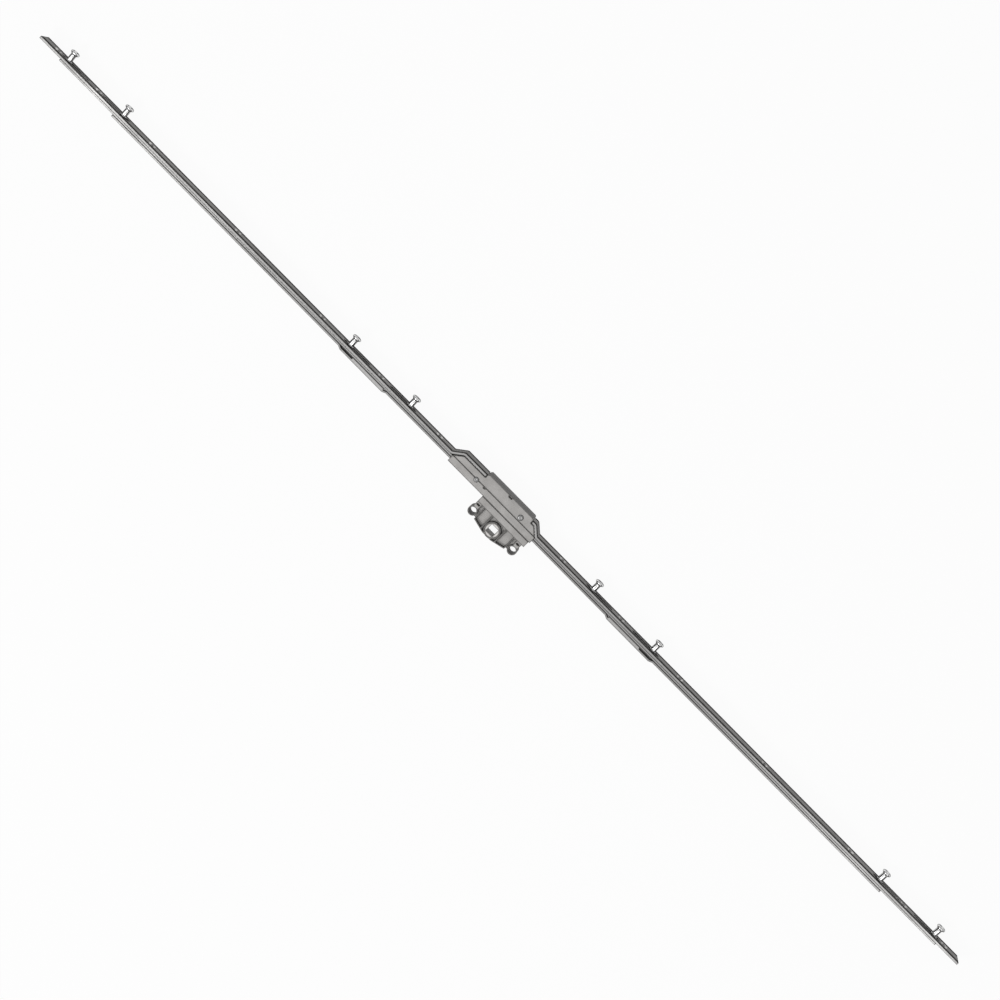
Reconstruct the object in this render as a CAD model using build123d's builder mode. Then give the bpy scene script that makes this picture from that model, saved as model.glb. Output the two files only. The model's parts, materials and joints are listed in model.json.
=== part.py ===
from build123d import *
import math
import os

# Window espagnolette gearbox with two pairs of cam rails that slide opposite ways.
# Millimetres. X runs along the rails, Y points out of the sash toward the cams and
# Z is the spindle axis. The origin is on the spindle axis, in the parting plane.

# Faceplate
FACE_LENGTH = 1000.0
FACE_WIDTH = 16.0
FACE_THICK = 2.0
BACKSET = 22.0
MID_X = -12.8
BUMP_RISE = 6.5
BUMP_LEFT_FOOT = -64.7
BUMP_LEFT_HEAD = -56.3
BUMP_RIGHT_HEAD = 20.8
BUMP_RIGHT_FOOT = 28.0
BEND_SHIFT = 0.7
BEND_INNER = 1.0
FACE_BACK = BACKSET - FACE_THICK
BUMP_TOP = BACKSET + BUMP_RISE
BUMP_BACK = BUMP_TOP - FACE_THICK

# How far cutting shapes start outside a piece, and how far joined shapes overlap
CLEAR = 1.0
JOIN = 1.0

# Fixing screws of the faceplate, as distances from its middle
SCREW_SPOTS = (67.4, 131.5, 195.7, 288.6, 382.6, 441.0, 485.0)
SCREW_R = 2.1
SCREW_SINK_R = 3.6

# Stroke and cams
STROKE = 18.0
CAM_PITCH = (473.5, 414.0, 165.4, 100.0)
CAM_HEIGHT = 9.0
CAM_COLLAR_R = 3.2
CAM_COLLAR_HIGH = 0.6
CAM_LIFT = 0.15
CAM_POST_R = 2.4
CAM_HEAD_R = 3.8
CAM_HEAD_HIGH = 2.7
CAM_CONE_HIGH = 1.0
CAM_EDGE_HIGH = 0.8
CAM_TOP_R = 2.7
CAM_ECCENTRIC = 0.6
CAM_SHOULDER_R = 2.25
CAM_RIVET_R = 1.75
CAM_RIVET_HEAD_R = 3.0
CAM_RIVET_HEAD_HIGH = 0.9
CAM_SINK_R = 2.9
CAM_HEX = 4.0
CAM_HEX_DEEP = 2.2
CAM_STEM_JOIN = 0.2
RIVET_PLAY = 0.05
CAM_SLOT_SIDE = 0.55
CAM_SLOT_BEHIND = 6.5
CAM_SLOT_MARGIN = 3.5
CAM_SLOT_AHEAD = STROKE + CAM_SLOT_MARGIN
NOTCH_PLAY = 0.5

# Rails
RAIL_WIDTH = 12.8
RAIL_THICK = 1.5
RAIL_GAP = 0.3
UPPER_END = 478.0
LOWER_END = 419.4
UPPER_TOP = FACE_BACK - RAIL_GAP
UPPER_BASE = UPPER_TOP - RAIL_THICK
LOWER_TOP = UPPER_BASE - RAIL_GAP
LOWER_BASE = LOWER_TOP - RAIL_THICK
STEP_DROP = 1.4
STEP_OUT = 171.4
STEP_IN = 119.7
STEP_RUN = 3.0
LIP_OUT = 156.7
LIP_IN = 122.9
LIP_THICK = 1.2
SLOT_PLAY = 0.3
RAIL_CORNER = 0.8
RAIL_FIRST_SLOT = 50.0

# Rail ends inside the gearbox at rest, and the tongues that hook them
LEFT_UPPER_X = -62.0
LEFT_LOWER_X = -44.0
RIGHT_UPPER_X = 18.0
RIGHT_LOWER_X = 25.2
NECK_LONG = 3.0
NECK_WIDE = 5.0
HOOK_LONG = 3.0
HOOK_WIDE = 9.0
TONGUE_PLAY = 0.1

# Gears
HUB_TEETH = 20
HUB_CUT_TEETH = 6
HUB_TURN = 90.0
HUB_PITCH_R = STROKE / math.radians(HUB_TURN)
HUB_MODULE = 2 * HUB_PITCH_R / HUB_TEETH
HUB_GEAR_HALF = 2.2
HUB_EDGE_ANGLE = 8.0
HUB_FLANK_PLAY = 0.08
HUB_TIP_R = HUB_PITCH_R + HUB_MODULE
HUB_RACK_TIP = HUB_PITCH_R - HUB_MODULE
HUB_RACK_PITCH = 2 * math.pi * HUB_PITCH_R / HUB_TEETH
HUB_RACK_FIRST = -HUB_RACK_PITCH / 2
HUB_RACK_TEETH = 7
HUB_RACK_MARGIN = 2.7
IDLER_TEETH = 10
IDLER_MODULE = 0.6
IDLER_X = -36.3
IDLER_Y = 19.8
IDLER_HALF = 6.1
IDLER_ADDENDUM = 0.8
IDLER_FLANK_PLAY = 0.06
IDLER_PITCH_R = IDLER_MODULE * IDLER_TEETH / 2
TOOTH_ANGLE = 20.0
TOOTH_DEDENDUM = 1.25
FLANK_STEPS = 3
FINE_TOOTH_ANGLE = 25.0

# Spindle hub
SQUARE = 7.0
HUB_R = 5.75
HUB_HALF = 6.3
HUB_PLAY = 0.05

# Housing
CASE_LEFT = -62.4
CASE_RIGHT = 27.0
CASE_HALF = 8.0
CHANNEL_HALF = 6.6
CASE_FOOT = 14.5
CASE_TOP_GAP = 0.5
CASE_TOP = BUMP_BACK - CASE_TOP_GAP
RAMP_GAP_LEFT = 0.7
RAMP_GAP_RIGHT = 0.35
BRIDGE_LEFT = -32.4
BRIDGE_RIGHT = 16.6
BRIDGE_THICK = 1.5
BRIDGE_BEVEL = 1.1
NOTCH_HALF = 6.5
BLOCK_LEFT = -24.0
BLOCK_RIGHT = 26.0
BLOCK_HALF = 7.5
FLOOR = 15.0
RACK_ROOM_PLAY = 0.31324
RACK_ROOM_FOOT = HUB_RACK_TIP - RACK_ROOM_PLAY
BLOCK_SOLE = 1.3
BLOCK_FOOT = RACK_ROOM_FOOT - BLOCK_SOLE
BLOCK_GROOVE = 0.5
WALL_JOIN = 0.5
CAVITY_HALF = 2.4
CAVITY_PLAY = 0.29493
CAVITY_R = HUB_TIP_R + CAVITY_PLAY
CAVITY_DROP = 2.6
RACK_ROOM_END = 0.4
RACK_ROOM_LEFT = HUB_RACK_FIRST - HUB_RACK_MARGIN - STROKE - RACK_ROOM_END
RACK_ROOM_RIGHT = 24.5
LOW_HALF = 6.3
LOW_WIDE = 16.4
LOW_CORNER = 3.6
LOW_FOOT = 6.5
LOW_FOOT_HALF = 4.6
RIM = 0.8
POCKET_FLOOR = 3.5
RIB_X = 7.5
RIB_WIDE = 1.1
COLLAR_R = 6.8
COLLAR_GROOVE = 0.7
LUG_X = 21.5
LUG_R = 4.0
LUG_HALF = 5.6
LUG_HOLE_R = 3.0
EAR_WIDE = 5.0
EAR_FOOT = 3.4
EAR_CORNER = 0.7
WEB_HALF = 3.3
WEB_FOOT = -2.6
WINDOW_Y = 6.6
WINDOW_LONG = 2.6
WINDOW_HIGH = 1.2
TENON_PLAY = 0.1
TENON_SHORT = 2.0
TENON_ROOT = 1.0
SEAM_Y = 20.4
SEAM_HIGH = 0.5
SEAM_DEEP = 0.4
NICK_X = -26.9
NICK_Y = 19.7
NICK_R = 0.75
NICK_DEEP = 0.6
NOTCH_LEFT = -9.7
NOTCH_RIGHT = -6.3
NOTCH_FOOT = 28.4
NOTCH_DEEP = 1.6

# Rivets
AXLE_R = 1.25
AXLE_HEAD_R = 2.1
TIE_X = 8.4
TIE_DROP = 3.0
TIE_Y = BUMP_BACK - TIE_DROP
TIE_R = 1.5
TIE_HEAD_R = 2.3
TIE_BOSS_R = 2.7
HEAD_HIGH = 0.8
RIVET_FIT = 0.01
AXLE_PLAY = 0.04

# Racks
LANE_IN = 0.3
LANE_OUT = 6.0
RACK_WIDE = 6.1
RACK_END = 0.1
HUB_RACK_TOP = 15.2
SMALL_RACK_BACK = 15.2
DRIVE_TEETH_OUT = 2
DRIVE_TEETH_IN = 11
DRIVE_BLOCK_IN = -40.2
DRIVE_BEAM_LEFT = -14.0
DRIVE_POST_LEFT = 13.0
REVERSE_GAP = 0.7
REVERSE_TOP = BUMP_BACK - REVERSE_GAP
REVERSE_TEETH_OUT = 11
REVERSE_TEETH_IN = 2
REVERSE_FOOT_IN = -58.4
REVERSE_KNEE_Y = 21.5
REVERSE_KNEE_X = -57.1
REVERSE_LEG_LEFT = -31.0
REVERSE_LEG_RIGHT = -24.0
REVERSE_BLOCK_LEFT = 21.5
REVERSE_RAMP_GAP = 0.45


def flat(height):
    """Plane of constant Y whose own axes are X and Z, facing down."""
    return Plane.XZ.offset(-height)


def outline(points, mode=Mode.ADD):
    """Adds the closed shape through the points to the sketch in work."""
    Polygon(*points, align=None, mode=mode)


def bump_back_line(side, gap):
    """A point and the slope of the faceplate's back on one ramp, moved down by gap."""
    if side < 0:
        foot = BUMP_LEFT_FOOT + BEND_SHIFT
        head = BUMP_LEFT_HEAD + BEND_SHIFT
    else:
        foot = BUMP_RIGHT_FOOT - BEND_SHIFT
        head = BUMP_RIGHT_HEAD - BEND_SHIFT
    slope = BUMP_RISE / (head - foot)
    length = math.hypot(1.0, slope)
    return foot + gap * slope / length, FACE_BACK - gap / length, slope


def ramp_y(side, gap, x):
    """Height of that moved ramp at x."""
    foot_x, foot_y, slope = bump_back_line(side, gap)
    return foot_y + (x - foot_x) * slope


def ramp_x(side, gap, y):
    """Place along X where that moved ramp reaches y."""
    foot_x, foot_y, slope = bump_back_line(side, gap)
    return foot_x + (y - foot_y) / slope


def involute(angle):
    """Polar angle of an involute at that pressure angle, both in radians."""
    return math.tan(angle) - angle


def tooth_points(module, teeth, addendum, dedendum, angle, play):
    """Outline of one gear tooth along +X, from below its root to its tip and back."""
    pitch_r = module * teeth / 2
    base_r = pitch_r * math.cos(math.radians(angle))
    tip_r = pitch_r + addendum * module
    root_r = pitch_r - dedendum * module
    half = math.pi / (2 * teeth) - play / pitch_r
    reach = half + involute(math.radians(angle))
    flank = []
    start = max(base_r, root_r)
    for i in range(FLANK_STEPS + 1):
        radius = start + (tip_r - start) * i / FLANK_STEPS
        turn = math.acos(min(1.0, base_r / radius))
        flank.append((radius, reach - involute(turn)))
    flank.insert(0, (root_r - play, flank[0][1] + play / pitch_r))
    lower = [(r * math.cos(a), -r * math.sin(a)) for r, a in flank]
    upper = [(r * math.cos(a), r * math.sin(a)) for r, a in reversed(flank)]
    return lower + upper


def rack_teeth(first, count, pitch, line, addendum, dedendum, angle, play, up):
    """Points of a toothed edge from low to high X. up is 1 for teeth that point up."""
    lean = math.tan(math.radians(angle))
    points = []
    for i in range(count):
        middle = first + i * pitch
        half = pitch / 4 - play
        root = half + dedendum * lean
        tip = half - addendum * lean
        points.append((middle - root, line - up * dedendum))
        points.append((middle - tip, line + up * addendum))
        points.append((middle + tip, line + up * addendum))
        points.append((middle + root, line - up * dedendum))
    return points


def tongue(end, way, grow):
    """Neck and hook of a tongue that enters a rail whose end face is at end."""
    with Locations((end + way * (NECK_LONG - JOIN) / 2, 0)):
        Rectangle(NECK_LONG + JOIN + grow, NECK_WIDE + 2 * grow)
    with Locations((end + way * (NECK_LONG + HOOK_LONG / 2), 0)):
        Rectangle(HOOK_LONG + 2 * grow, HOOK_WIDE + 2 * grow)


# faceplate

with BuildPart() as faceplate:
    with BuildSketch() as face_side:
        outline(
            [
                (MID_X - FACE_LENGTH / 2, FACE_BACK),
                (MID_X - FACE_LENGTH / 2, BACKSET),
                (BUMP_LEFT_FOOT, BACKSET),
                (BUMP_LEFT_HEAD, BUMP_TOP),
                (BUMP_RIGHT_HEAD, BUMP_TOP),
                (BUMP_RIGHT_FOOT, BACKSET),
                (MID_X + FACE_LENGTH / 2, BACKSET),
                (MID_X + FACE_LENGTH / 2, FACE_BACK),
                (BUMP_RIGHT_FOOT - BEND_SHIFT, FACE_BACK),
                (BUMP_RIGHT_HEAD - BEND_SHIFT, BUMP_BACK),
                (BUMP_LEFT_HEAD + BEND_SHIFT, BUMP_BACK),
                (BUMP_LEFT_FOOT + BEND_SHIFT, FACE_BACK),
            ]
        )
        inside = [
            v
            for v in face_side.vertices()
            if abs(v.X - MID_X) < FACE_LENGTH / 4
            and (abs(v.Y - BACKSET) < 0.01 or abs(v.Y - BUMP_BACK) < 0.01)
        ]
        fillet(inside, BEND_INNER)
        outside = [
            v
            for v in face_side.vertices()
            if abs(v.X - MID_X) < FACE_LENGTH / 4
            and (abs(v.Y - FACE_BACK) < 0.01 or abs(v.Y - BUMP_TOP) < 0.01)
        ]
        fillet(outside, BEND_INNER + FACE_THICK)
    extrude(amount=FACE_WIDTH / 2, both=True)
    for edge in (-1, 1):
        with BuildSketch(flat(BUMP_TOP + CLEAR)):
            with Locations(((BRIDGE_LEFT + BRIDGE_RIGHT) / 2, edge * FACE_WIDTH / 2)):
                Rectangle(
                    BRIDGE_RIGHT - BRIDGE_LEFT + 2 * NOTCH_PLAY,
                    2 * (FACE_WIDTH / 2 - NOTCH_HALF),
                )
        extrude(amount=FACE_THICK + 2 * CLEAR, mode=Mode.SUBTRACT)
    with BuildSketch(flat(BACKSET + CLEAR)):
        for end in (-1, 1):
            for i, spot in enumerate(CAM_PITCH):
                inward = -end if i % 2 == 0 else end
                behind = end * spot - inward * CAM_SLOT_BEHIND
                ahead = end * spot + inward * CAM_SLOT_AHEAD
                with Locations((MID_X + (behind + ahead) / 2, 0)):
                    SlotOverall(abs(ahead - behind), 2 * (CAM_SHOULDER_R + CAM_SLOT_SIDE))
    extrude(amount=FACE_THICK + 2 * CLEAR, mode=Mode.SUBTRACT)
    screw_planes = [
        Plane(origin=(MID_X + end * spot, BACKSET, 0), x_dir=(1, 0, 0), z_dir=(0, 1, 0))
        for spot in SCREW_SPOTS
        for end in (-1, 1)
    ]
    with Locations(*screw_planes):
        CounterSinkHole(SCREW_R, SCREW_SINK_R, depth=FACE_THICK + CLEAR, counter_sink_angle=90)

faceplate.part.label = "faceplate"


def screw_slots(end, drift, from_spot, to_spot):
    """Slots of a rail for the fixing screws while the rail drifts along X."""
    half = SCREW_R + SLOT_PLAY
    for spot in SCREW_SPOTS:
        if from_spot < spot < to_spot:
            near = end * spot
            far = end * spot - drift
            with Locations((MID_X + (near + far) / 2, 0)):
                SlotOverall(STROKE + 2 * half, 2 * half)


def upper_rail(end, inner, drift):
    """Rail right behind the faceplate, on the side end, moving by drift along X."""
    outer = MID_X + end * UPPER_END
    with BuildPart() as rail:
        with BuildSketch(flat(UPPER_TOP)) as top:
            with Locations(((outer + inner) / 2, 0)):
                Rectangle(abs(outer - inner), RAIL_WIDTH)
            fillet(top.vertices(), RAIL_CORNER)
        extrude(amount=RAIL_THICK)
        with BuildSketch(flat(UPPER_TOP + CLEAR)):
            with Locations((MID_X + end * CAM_PITCH[0], 0), (MID_X + end * CAM_PITCH[2], 0)):
                Circle(CAM_RIVET_R + RIVET_PLAY)
            screw_slots(end, drift, RAIL_FIRST_SLOT, UPPER_END)
            for spot in (CAM_PITCH[1], CAM_PITCH[3]):
                near = end * spot
                far = end * spot - 2 * drift
                reach = abs(far - near) + 2 * (CAM_SHOULDER_R + SLOT_PLAY)
                with Locations((MID_X + (near + far) / 2, 0)):
                    SlotOverall(reach, 2 * (CAM_SHOULDER_R + SLOT_PLAY))
            tongue(inner, end, TONGUE_PLAY)
        extrude(amount=RAIL_THICK + 2 * CLEAR, mode=Mode.SUBTRACT)
    return rail.part


def lower_rail(end, inner, drift):
    """Rail behind the upper one, lowered where the upper rail's cam rivet runs."""
    outer = MID_X + end * LOWER_END
    with BuildPart() as rail:
        with BuildSketch():
            upper = [
                (outer, LOWER_TOP),
                (MID_X + end * STEP_OUT, LOWER_TOP),
                (MID_X + end * (STEP_OUT - STEP_RUN), LOWER_TOP - STEP_DROP),
                (MID_X + end * (STEP_IN + STEP_RUN), LOWER_TOP - STEP_DROP),
                (MID_X + end * STEP_IN, LOWER_TOP),
                (inner, LOWER_TOP),
            ]
            outline(upper + [(x, y - RAIL_THICK) for x, y in reversed(upper)])
        extrude(amount=RAIL_WIDTH / 2, both=True)
        corners = rail.edges().filter_by(Axis.Y)
        fillet(corners, RAIL_CORNER)
        for edge in (-1, 1):
            with BuildSketch(flat(LOWER_TOP)):
                middle = MID_X + end * (LIP_IN + LIP_OUT) / 2
                with Locations((middle, edge * (RAIL_WIDTH - LIP_THICK) / 2)):
                    Rectangle(LIP_OUT - LIP_IN, LIP_THICK)
            extrude(amount=STEP_DROP + RAIL_THICK / 2)
        with BuildSketch(flat(LOWER_TOP + CLEAR)):
            screw_slots(end, drift, RAIL_FIRST_SLOT, LOWER_END)
            tongue(inner, end, TONGUE_PLAY)
            with Locations((MID_X + end * CAM_PITCH[1], 0), (MID_X + end * CAM_PITCH[3], 0)):
                Circle(CAM_RIVET_R + RIVET_PLAY)
        extrude(amount=RAIL_THICK + STEP_DROP + 2 * CLEAR, mode=Mode.SUBTRACT)
        sinks = [
            Plane(
                origin=(MID_X + end * spot, LOWER_BASE, 0), x_dir=(1, 0, 0), z_dir=(0, -1, 0)
            )
            for spot in (CAM_PITCH[1], CAM_PITCH[3])
        ]
        with Locations(*sinks):
            CounterSinkHole(
                CAM_RIVET_R + RIVET_PLAY,
                CAM_SINK_R + RIVET_PLAY,
                depth=RAIL_THICK,
                counter_sink_angle=90,
            )
    return rail.part


rail_left_upper = upper_rail(-1, LEFT_UPPER_X, STROKE)
rail_left_upper.label = "rail_left_upper"
rail_left_lower = lower_rail(-1, LEFT_LOWER_X, -STROKE)
rail_left_lower.label = "rail_left_lower"
rail_right_upper = upper_rail(1, RIGHT_UPPER_X, -STROKE)
rail_right_upper.label = "rail_right_upper"
rail_right_lower = lower_rail(1, RIGHT_LOWER_X, STROKE)
rail_right_lower.label = "rail_right_lower"


def cam(x, on_upper, shift):
    """Eccentric mushroom cam riveted into the upper or the lower rail."""
    seat = UPPER_TOP if on_upper else LOWER_TOP
    base = UPPER_BASE if on_upper else LOWER_BASE
    foot = BACKSET + CAM_LIFT
    collar = foot + CAM_COLLAR_HIGH
    top = BACKSET + CAM_HEIGHT
    under = top - CAM_HEAD_HIGH
    with BuildPart() as pin:
        with BuildSketch():
            stem = [
                (x, foot + CAM_STEM_JOIN),
                (x + CAM_SHOULDER_R, foot + CAM_STEM_JOIN),
                (x + CAM_SHOULDER_R, seat),
            ]
            if on_upper:
                stem += [
                    (x + CAM_RIVET_R, seat),
                    (x + CAM_RIVET_R, base),
                    (x + CAM_RIVET_HEAD_R, base),
                    (x + CAM_RIVET_HEAD_R, base - CAM_RIVET_HEAD_HIGH),
                    (x, base - CAM_RIVET_HEAD_HIGH),
                ]
            else:
                sink = CAM_SINK_R - CAM_RIVET_R
                stem += [
                    (x + CAM_RIVET_R, seat),
                    (x + CAM_RIVET_R, base + sink),
                    (x + CAM_SINK_R, base),
                    (x, base),
                ]
            outline(stem)
        revolve(axis=Axis((x, 0, 0), (0, 1, 0)))
        with BuildSketch(Plane.XY.offset(shift)):
            outline(
                [
                    (x, foot),
                    (x + CAM_COLLAR_R, foot),
                    (x + CAM_COLLAR_R, collar),
                    (x + CAM_POST_R, collar),
                    (x + CAM_POST_R, under),
                    (x + CAM_HEAD_R, under + CAM_CONE_HIGH),
                    (x + CAM_HEAD_R, under + CAM_CONE_HIGH + CAM_EDGE_HIGH),
                    (x + CAM_TOP_R, top),
                    (x, top),
                ]
            )
        revolve(axis=Axis((x, 0, shift), (0, 1, 0)))
        with BuildSketch(flat(top)):
            with Locations((x, shift)):
                RegularPolygon(CAM_HEX / 2, 6, major_radius=False)
        extrude(amount=CAM_HEX_DEEP, mode=Mode.SUBTRACT)
    return pin.part


cams = {}
for side_name, end in (("left", -1), ("right", 1)):
    for number, spot in enumerate(CAM_PITCH, start=1):
        label = f"cam_{side_name}_{number}"
        on_upper_rail = number % 2 == 1
        cams[label] = cam(MID_X + end * spot, on_upper_rail, -end * CAM_ECCENTRIC)
        cams[label].label = label

# spindle hub

with BuildPart() as spindle_hub:
    with BuildSketch(Plane.XY.offset(-HUB_HALF)):
        Circle(HUB_R)
    extrude(amount=2 * HUB_HALF)
    with BuildSketch(Plane.XY.offset(-HUB_GEAR_HALF)) as sector:
        Circle(HUB_PITCH_R - TOOTH_DEDENDUM * HUB_MODULE)
        low = math.radians(-HUB_EDGE_ANGLE)
        high = math.radians(HUB_TURN + HUB_EDGE_ANGLE)
        far = 4 * HUB_R
        wedge = [
            (0, 0),
            (far * math.cos(low), far * math.sin(low)),
            (far, far),
            (far * math.cos(high), far * math.sin(high)),
        ]
        outline(wedge, Mode.INTERSECT)
        turned = HUB_CUT_TEETH * 360.0 / HUB_TEETH
        with PolarLocations(0, HUB_CUT_TEETH, angular_range=turned):
            outline(
                tooth_points(
                    HUB_MODULE,
                    HUB_TEETH,
                    1.0,
                    TOOTH_DEDENDUM,
                    TOOTH_ANGLE,
                    HUB_FLANK_PLAY,
                )
            )
    extrude(amount=2 * HUB_GEAR_HALF)
    with BuildSketch(Plane.XY.offset(-HUB_HALF)):
        Rectangle(SQUARE, SQUARE)
    extrude(amount=2 * HUB_HALF, mode=Mode.SUBTRACT)
spindle_hub.part.label = "spindle_hub"

# idler pinion

with BuildPart() as idler_pinion:
    with BuildSketch(Plane.XY.offset(-IDLER_HALF)):
        with Locations((IDLER_X, IDLER_Y)):
            Circle(IDLER_PITCH_R - IDLER_MODULE)
            with PolarLocations(0, IDLER_TEETH, start_angle=90):
                outline(
                    tooth_points(
                        IDLER_MODULE,
                        IDLER_TEETH,
                        IDLER_ADDENDUM,
                        1.0,
                        FINE_TOOTH_ANGLE,
                        IDLER_FLANK_PLAY,
                    )
                )
            Circle(AXLE_R + AXLE_PLAY, mode=Mode.SUBTRACT)
    extrude(amount=2 * IDLER_HALF)
idler_pinion.part.label = "idler_pinion"

# drive rack: hub rack below, small rack and left hook in the near lane, right hook above

hub_rack_root = TOOTH_DEDENDUM * HUB_MODULE
hub_rack_tip = HUB_MODULE
small_pitch = math.pi * IDLER_MODULE
small_tip = IDLER_ADDENDUM * IDLER_MODULE
small_root = IDLER_MODULE
drive_line = IDLER_Y - IDLER_PITCH_R
reverse_line = IDLER_Y + IDLER_PITCH_R

with BuildPart() as drive_rack:
    with BuildSketch(Plane.XY.offset(-HUB_GEAR_HALF)):
        last = HUB_RACK_FIRST + (HUB_RACK_TEETH - 1) * HUB_RACK_PITCH
        edge = rack_teeth(
            HUB_RACK_FIRST,
            HUB_RACK_TEETH,
            HUB_RACK_PITCH,
            HUB_PITCH_R,
            hub_rack_tip,
            hub_rack_root,
            TOOTH_ANGLE,
            HUB_FLANK_PLAY,
            -1,
        )
        left_end = HUB_RACK_FIRST - HUB_RACK_MARGIN
        right_end = last + HUB_RACK_MARGIN
        root_y = HUB_PITCH_R + hub_rack_root
        outline(
            [(left_end, HUB_RACK_TOP), (left_end, root_y)]
            + edge
            + [(right_end, root_y), (right_end, HUB_RACK_TOP)]
        )
    extrude(amount=2 * HUB_GEAR_HALF)
    with BuildSketch(Plane.XY.offset(LANE_IN)):
        first = IDLER_X - (DRIVE_TEETH_OUT - 0.5) * small_pitch
        edge = rack_teeth(
            first,
            DRIVE_TEETH_OUT + DRIVE_TEETH_IN,
            small_pitch,
            drive_line,
            small_tip,
            small_root,
            FINE_TOOTH_ANGLE,
            IDLER_FLANK_PLAY,
            1,
        )
        small_root_y = drive_line - small_root
        outline(
            [(DRIVE_BLOCK_IN - JOIN, SMALL_RACK_BACK), (DRIVE_BLOCK_IN - JOIN, small_root_y)]
            + edge
            + [
                (DRIVE_BEAM_LEFT, small_root_y),
                (DRIVE_BEAM_LEFT, LOWER_TOP),
                (DRIVE_POST_LEFT, LOWER_TOP),
                (DRIVE_POST_LEFT, UPPER_TOP),
                (RIGHT_UPPER_X - RACK_END, UPPER_TOP),
                (RIGHT_UPPER_X - RACK_END, SMALL_RACK_BACK),
            ]
        )
    extrude(amount=LANE_OUT - LANE_IN)
    with BuildSketch(Plane.XY.offset(LANE_IN)):
        with Locations(((left_end + RIGHT_UPPER_X) / 2, HUB_RACK_TOP)):
            Rectangle(RIGHT_UPPER_X - left_end - JOIN, 2 * JOIN)
    extrude(amount=HUB_GEAR_HALF - LANE_IN)
    with BuildSketch(flat(LOWER_TOP)):
        left = LEFT_LOWER_X + RACK_END
        with Locations(((left + DRIVE_BLOCK_IN) / 2, 0)):
            Rectangle(DRIVE_BLOCK_IN - left, 2 * RACK_WIDE)
        tongue(LEFT_LOWER_X, -1, 0)
    extrude(amount=RAIL_THICK)
    with BuildSketch(flat(LOWER_BASE)):
        with Locations(((left + DRIVE_BLOCK_IN) / 2, 0)):
            Rectangle(DRIVE_BLOCK_IN - left, 2 * LANE_OUT)
    extrude(amount=LOWER_BASE - SMALL_RACK_BACK)
    with BuildSketch(flat(UPPER_TOP)):
        right = RIGHT_UPPER_X - RACK_END
        with Locations(((DRIVE_POST_LEFT + right) / 2, 0)):
            Rectangle(right - DRIVE_POST_LEFT, 2 * RACK_WIDE)
        tongue(RIGHT_UPPER_X, 1, 0)
    extrude(amount=RAIL_THICK)
drive_rack.part.label = "drive_rack"

# reversing rack: rack over the idler, leg and beam in the far lane, hooks at both ends

with BuildPart() as reversing_rack:
    with BuildSketch(Plane.XY.offset(-RACK_WIDE)):
        first = IDLER_X - (REVERSE_TEETH_OUT - 0.5) * small_pitch
        edge = rack_teeth(
            first,
            REVERSE_TEETH_OUT + REVERSE_TEETH_IN,
            small_pitch,
            reverse_line,
            small_tip,
            small_root,
            FINE_TOOTH_ANGLE,
            IDLER_FLANK_PLAY,
            -1,
        )
        foot_out = LEFT_UPPER_X + RACK_END
        reverse_root_y = reverse_line + small_root
        outline(
            [
                (foot_out, UPPER_BASE),
                (foot_out, ramp_y(-1, REVERSE_RAMP_GAP, foot_out)),
                (ramp_x(-1, REVERSE_RAMP_GAP, REVERSE_TOP), REVERSE_TOP),
                (REVERSE_LEG_RIGHT, REVERSE_TOP),
                (REVERSE_LEG_RIGHT, reverse_root_y),
            ]
            + list(reversed(edge))
            + [
                (REVERSE_KNEE_X, reverse_root_y),
                (REVERSE_FOOT_IN, REVERSE_KNEE_Y),
                (REVERSE_FOOT_IN, UPPER_BASE),
            ]
        )
    extrude(amount=2 * RACK_WIDE)
    with BuildSketch(flat(UPPER_TOP)):
        tongue(LEFT_UPPER_X, -1, 0)
    extrude(amount=RAIL_THICK)
    with BuildSketch(Plane.XY.offset(-LANE_OUT)):
        outline(
            [
                (REVERSE_LEG_LEFT, REVERSE_TOP),
                (REVERSE_LEG_LEFT, LOWER_BASE),
                (REVERSE_BLOCK_LEFT + JOIN, LOWER_BASE),
                (REVERSE_BLOCK_LEFT + JOIN, LOWER_TOP),
                (REVERSE_LEG_RIGHT, LOWER_TOP),
                (REVERSE_LEG_RIGHT, REVERSE_TOP),
            ]
        )
    extrude(amount=LANE_OUT - LANE_IN)
    with BuildSketch(flat(LOWER_TOP)):
        right = RIGHT_LOWER_X - RACK_END
        with Locations(((REVERSE_BLOCK_LEFT + right) / 2, 0)):
            Rectangle(right - REVERSE_BLOCK_LEFT, 2 * RACK_WIDE)
        tongue(RIGHT_LOWER_X, 1, 0)
    extrude(amount=RAIL_THICK)
reversing_rack.part.label = "reversing_rack"


def low_outline(inset):
    """Lower case outline up to the block, its sides and foot drawn in by inset."""
    wide = LOW_WIDE - inset
    foot = LOW_FOOT - inset
    corner = LOW_CORNER - inset
    return [
        (-wide, BLOCK_FOOT),
        (-wide, -corner),
        (-LOW_FOOT_HALF, -foot),
        (LOW_FOOT_HALF, -foot),
        (wide, -corner),
        (wide, BLOCK_FOOT),
    ]


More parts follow.
